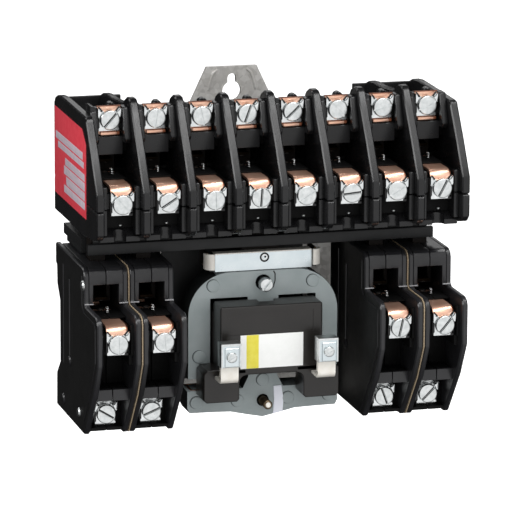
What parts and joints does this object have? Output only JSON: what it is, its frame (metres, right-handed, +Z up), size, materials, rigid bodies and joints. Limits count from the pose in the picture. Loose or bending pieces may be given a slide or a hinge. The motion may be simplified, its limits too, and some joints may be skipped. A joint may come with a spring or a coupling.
{
  "type": "electrically held lighting contactor",
  "caption": "Open panel-mounted multi-pole contactor: barriered terminal block over a magnet with moulded coil, two pairs of power pole modules beside it, keyhole plate.",
  "frame": {"origin": "centre line of the mounting plate's rear face, 36 mm below the knee in the front edges of the upper barriers", "axes": "+X to the right seen from the front, +Y backwards into the panel, +Z up; the front faces -Y"},
  "size_m": [0.1556, 0.087, 0.1387],
  "materials": {
    "galvanised_steel": "mottled zinc",
    "frame_phenolic": "matt moulded",
    "black_phenolic": "satin moulded",
    "copper": "bright copper strip under a zinc clamp and screw",
    "silver_brass": "brass with silver faces",
    "vulcanised_fibre": "tan fibre sheet",
    "carrier_moulding": "matt moulded",
    "spring_steel": "bright wire",
    "lamination_paint": "grey paint over laminations",
    "zinc_plate": "bright zinc",
    "coil_moulding": "satin moulded"
  },
  "bodies": {
    "root": {"mounting_plate": "galvanised_steel", "base_frame": "frame_phenolic", "block_base": "black_phenolic", "block_cover": "black_phenolic", "magnet_core": "lamination_paint", "coil": "coil_moulding", "coil_terminal_left": "zinc_plate", "coil_terminal_right": "zinc_plate", "core_stud": "zinc_plate", "insulating_sheet_left": "vulcanised_fibre", "insulating_sheet_right": "vulcanised_fibre", "return_spring": "spring_steel", "pole_1_upper_terminal": "copper", "pole_1_lower_terminal": "copper", "pole_2_upper_terminal": "copper", "pole_2_lower_terminal": "copper", "pole_3_upper_terminal": "copper", "pole_3_lower_terminal": "copper", "pole_4_upper_terminal": "copper", "pole_4_lower_terminal": "copper", "pole_5_upper_terminal": "copper", "pole_5_lower_terminal": "copper", "pole_6_upper_terminal": "copper", "pole_6_lower_terminal": "copper", "pole_7_upper_terminal": "copper", "pole_7_lower_terminal": "copper", "pole_8_upper_terminal": "copper", "pole_8_lower_terminal": "copper", "module_1_left_shell": "black_phenolic", "module_1_right_shell": "black_phenolic", "module_1_upper_terminal": "copper", "module_1_lower_terminal": "copper", "module_2_left_shell": "black_phenolic", "module_2_right_shell": "black_phenolic", "module_2_upper_terminal": "copper", "module_2_lower_terminal": "copper", "module_3_left_shell": "black_phenolic", "module_3_right_shell": "black_phenolic", "module_3_upper_terminal": "copper", "module_3_lower_terminal": "copper", "module_4_left_shell": "black_phenolic", "module_4_right_shell": "black_phenolic", "module_4_upper_terminal": "copper", "module_4_lower_terminal": "copper"},
    "carrier": {"contact_carrier": "carrier_moulding", "armature": "lamination_paint", "armature_clip": "zinc_plate", "armature_screw": "zinc_plate"},
    "pole_1_bridge_body": {"pole_1_bridge": "silver_brass"},
    "pole_2_bridge_body": {"pole_2_bridge": "silver_brass"},
    "pole_3_bridge_body": {"pole_3_bridge": "silver_brass"},
    "pole_4_bridge_body": {"pole_4_bridge": "silver_brass"},
    "pole_5_bridge_body": {"pole_5_bridge": "silver_brass"},
    "pole_6_bridge_body": {"pole_6_bridge": "silver_brass"},
    "pole_7_bridge_body": {"pole_7_bridge": "silver_brass"},
    "pole_8_bridge_body": {"pole_8_bridge": "silver_brass"},
    "module_1_bridge_body": {"module_1_bridge": "silver_brass"},
    "module_2_bridge_body": {"module_2_bridge": "silver_brass"},
    "module_3_bridge_body": {"module_3_bridge": "silver_brass"},
    "module_4_bridge_body": {"module_4_bridge": "silver_brass"}
  },
  "joints": [
    {"name": "carrier_slide", "type": "slide", "parent": "root", "child": "carrier", "axis": [0, 0, -1], "range_m": [0, 0.0046], "stiffness_N_per_m": 1500, "springref_m": -0.005, "deforming": ["return_spring"]},
    {"name": "pole_1_bridge_overtravel", "type": "slide", "parent": "carrier", "child": "pole_1_bridge_body", "axis": [0, 0, 1], "range_m": [0, 0.00142], "stiffness_N_per_m": 200, "springref_m": -0.002},
    {"name": "pole_2_bridge_overtravel", "type": "slide", "parent": "carrier", "child": "pole_2_bridge_body", "axis": [0, 0, 1], "range_m": [0, 0.00142], "stiffness_N_per_m": 200, "springref_m": -0.002},
    {"name": "pole_3_bridge_overtravel", "type": "slide", "parent": "carrier", "child": "pole_3_bridge_body", "axis": [0, 0, 1], "range_m": [0, 0.00142], "stiffness_N_per_m": 200, "springref_m": -0.002},
    {"name": "pole_4_bridge_overtravel", "type": "slide", "parent": "carrier", "child": "pole_4_bridge_body", "axis": [0, 0, 1], "range_m": [0, 0.00142], "stiffness_N_per_m": 200, "springref_m": -0.002},
    {"name": "pole_5_bridge_overtravel", "type": "slide", "parent": "carrier", "child": "pole_5_bridge_body", "axis": [0, 0, 1], "range_m": [0, 0.00142], "stiffness_N_per_m": 200, "springref_m": -0.002},
    {"name": "pole_6_bridge_overtravel", "type": "slide", "parent": "carrier", "child": "pole_6_bridge_body", "axis": [0, 0, 1], "range_m": [0, 0.00142], "stiffness_N_per_m": 200, "springref_m": -0.002},
    {"name": "pole_7_bridge_overtravel", "type": "slide", "parent": "carrier", "child": "pole_7_bridge_body", "axis": [0, 0, 1], "range_m": [0, 0.00142], "stiffness_N_per_m": 200, "springref_m": -0.002},
    {"name": "pole_8_bridge_overtravel", "type": "slide", "parent": "carrier", "child": "pole_8_bridge_body", "axis": [0, 0, 1], "range_m": [0, 0.00142], "stiffness_N_per_m": 200, "springref_m": -0.002},
    {"name": "module_1_bridge_overtravel", "type": "slide", "parent": "carrier", "child": "module_1_bridge_body", "axis": [0, 0, 1], "range_m": [0, 0.00142], "stiffness_N_per_m": 200, "springref_m": -0.002},
    {"name": "module_2_bridge_overtravel", "type": "slide", "parent": "carrier", "child": "module_2_bridge_body", "axis": [0, 0, 1], "range_m": [0, 0.00142], "stiffness_N_per_m": 200, "springref_m": -0.002},
    {"name": "module_3_bridge_overtravel", "type": "slide", "parent": "carrier", "child": "module_3_bridge_body", "axis": [0, 0, 1], "range_m": [0, 0.00142], "stiffness_N_per_m": 200, "springref_m": -0.002},
    {"name": "module_4_bridge_overtravel", "type": "slide", "parent": "carrier", "child": "module_4_bridge_body", "axis": [0, 0, 1], "range_m": [0, 0.00142], "stiffness_N_per_m": 200, "springref_m": -0.002}
  ],
  "couplings": [
    {"joint": "pole_1_bridge_overtravel", "follows": "carrier_slide", "ratio": 0.30435},
    {"joint": "pole_2_bridge_overtravel", "follows": "carrier_slide", "ratio": 0.30435},
    {"joint": "pole_3_bridge_overtravel", "follows": "carrier_slide", "ratio": 0.30435},
    {"joint": "pole_4_bridge_overtravel", "follows": "carrier_slide", "ratio": 0.30435},
    {"joint": "pole_5_bridge_overtravel", "follows": "carrier_slide", "ratio": 0.30435},
    {"joint": "pole_6_bridge_overtravel", "follows": "carrier_slide", "ratio": 0.30435},
    {"joint": "pole_7_bridge_overtravel", "follows": "carrier_slide", "ratio": 0.30435},
    {"joint": "pole_8_bridge_overtravel", "follows": "carrier_slide", "ratio": 0.30435},
    {"joint": "module_1_bridge_overtravel", "follows": "carrier_slide", "ratio": 0.30435},
    {"joint": "module_2_bridge_overtravel", "follows": "carrier_slide", "ratio": 0.30435},
    {"joint": "module_3_bridge_overtravel", "follows": "carrier_slide", "ratio": 0.30435},
    {"joint": "module_4_bridge_overtravel", "follows": "carrier_slide", "ratio": 0.30435}
  ]
}
